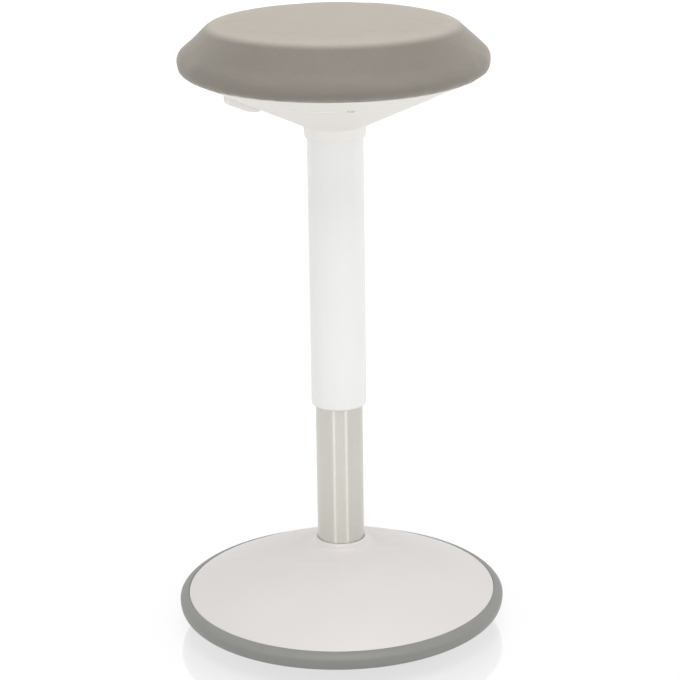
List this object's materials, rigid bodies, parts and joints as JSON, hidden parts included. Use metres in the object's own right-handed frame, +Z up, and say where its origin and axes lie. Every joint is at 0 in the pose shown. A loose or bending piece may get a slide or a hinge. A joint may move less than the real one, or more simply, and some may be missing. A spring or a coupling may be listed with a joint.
{
  "type": "wobble stool",
  "caption": "Height-adjustable wobble stool: padded round seat on a gas-spring column, over a weighted cone-shaped foot with a rounded rubber sole.",
  "frame": {"origin": "on the floor, at the centre of the foot's level patch, under the column", "axes": "+Z up along the column, the release lever towards -X"},
  "size_m": [0.3536, 0.3536, 0.6697],
  "materials": {
    "white_plastic": "moulded white plastic, fine satin",
    "white_tube": "extruded white plastic, smooth satin",
    "grey_rubber": "grey moulded rubber, matt",
    "sole_rubber": "grey moulded rubber, matt, with a fine grip texture",
    "black_rubber": "black rubber buffer",
    "satin_steel": "satin stainless steel",
    "zinc_steel": "zinc-plated steel",
    "black_steel": "black powder-coated steel",
    "weight_iron": "rough cast iron",
    "black_nylon": "black glass-filled nylon",
    "natural_nylon": "natural acetal",
    "plywood": "raw birch plywood",
    "foam": "open-cell seat foam",
    "grey_fabric": "warm grey fine woven seat fabric"
  },
  "bodies": {
    "base": {"base_sole": "sole_rubber", "base_dish": "black_nylon", "base_weight": "weight_iron", "column_socket": "zinc_steel", "base_cover": "white_plastic", "base_ring": "grey_rubber", "socket_bolt_1": "zinc_steel", "socket_bolt_2": "zinc_steel", "socket_bolt_3": "zinc_steel", "socket_bolt_4": "zinc_steel", "dish_screw_1": "zinc_steel", "dish_screw_2": "zinc_steel", "dish_screw_3": "zinc_steel", "dish_screw_4": "zinc_steel", "cover_screw_1": "zinc_steel", "cover_screw_2": "zinc_steel", "cover_screw_3": "zinc_steel", "outer_column": "satin_steel", "column_bush": "natural_nylon", "bearing_lower_washer": "zinc_steel", "bearing_ball_cage": "zinc_steel"},
    "spindle": {"bearing_upper_washer": "zinc_steel", "rod_clip": "black_steel", "rod_buffer": "black_rubber", "piston_rod": "satin_steel", "piston": "black_nylon"},
    "seat": {"rod_gland": "black_nylon", "pressure_tube": "black_steel", "column_sleeve": "white_tube", "sleeve_glide": "natural_nylon", "seat_housing": "white_plastic", "housing_screw_1": "zinc_steel", "housing_screw_2": "zinc_steel", "housing_screw_3": "zinc_steel", "seat_plate": "black_steel", "seat_board": "plywood", "seat_foam": "foam", "seat_fabric": "grey_fabric", "seat_bolt_1": "zinc_steel", "seat_bolt_2": "zinc_steel", "seat_bolt_3": "zinc_steel", "seat_bolt_4": "zinc_steel", "tee_nut_1": "zinc_steel", "tee_nut_2": "zinc_steel", "tee_nut_3": "zinc_steel", "tee_nut_4": "zinc_steel", "lever_pin": "zinc_steel", "lever_pin_clip": "black_steel"},
    "lever": {"lever_arm": "zinc_steel", "lever_handle": "white_plastic"},
    "button": {"release_button": "natural_nylon"}
  },
  "joints": [
    {"name": "swivel", "type": "hinge", "parent": "base", "child": "spindle", "pos_m": [0, 0, 0.035], "axis": [0, 0, 1], "continuous": true},
    {"name": "height", "type": "slide", "parent": "spindle", "child": "seat", "axis": [0, 0, 1], "range_m": [-0.145, 0.12]},
    {"name": "lever", "type": "hinge", "parent": "seat", "child": "lever", "pos_m": [-0.03, 0, 0.5828], "axis": [0, 1, 0], "range_deg": [0, 7], "stiffness_Nm_per_rad": 6, "springref_deg": -5.73},
    {"name": "button", "type": "slide", "parent": "seat", "child": "button", "axis": [0, 0, -1], "range_m": [0, 0.004]}
  ],
  "couplings": [
    {"joint": "button", "follows": "lever", "m_per_rad": 0.03}
  ]
}
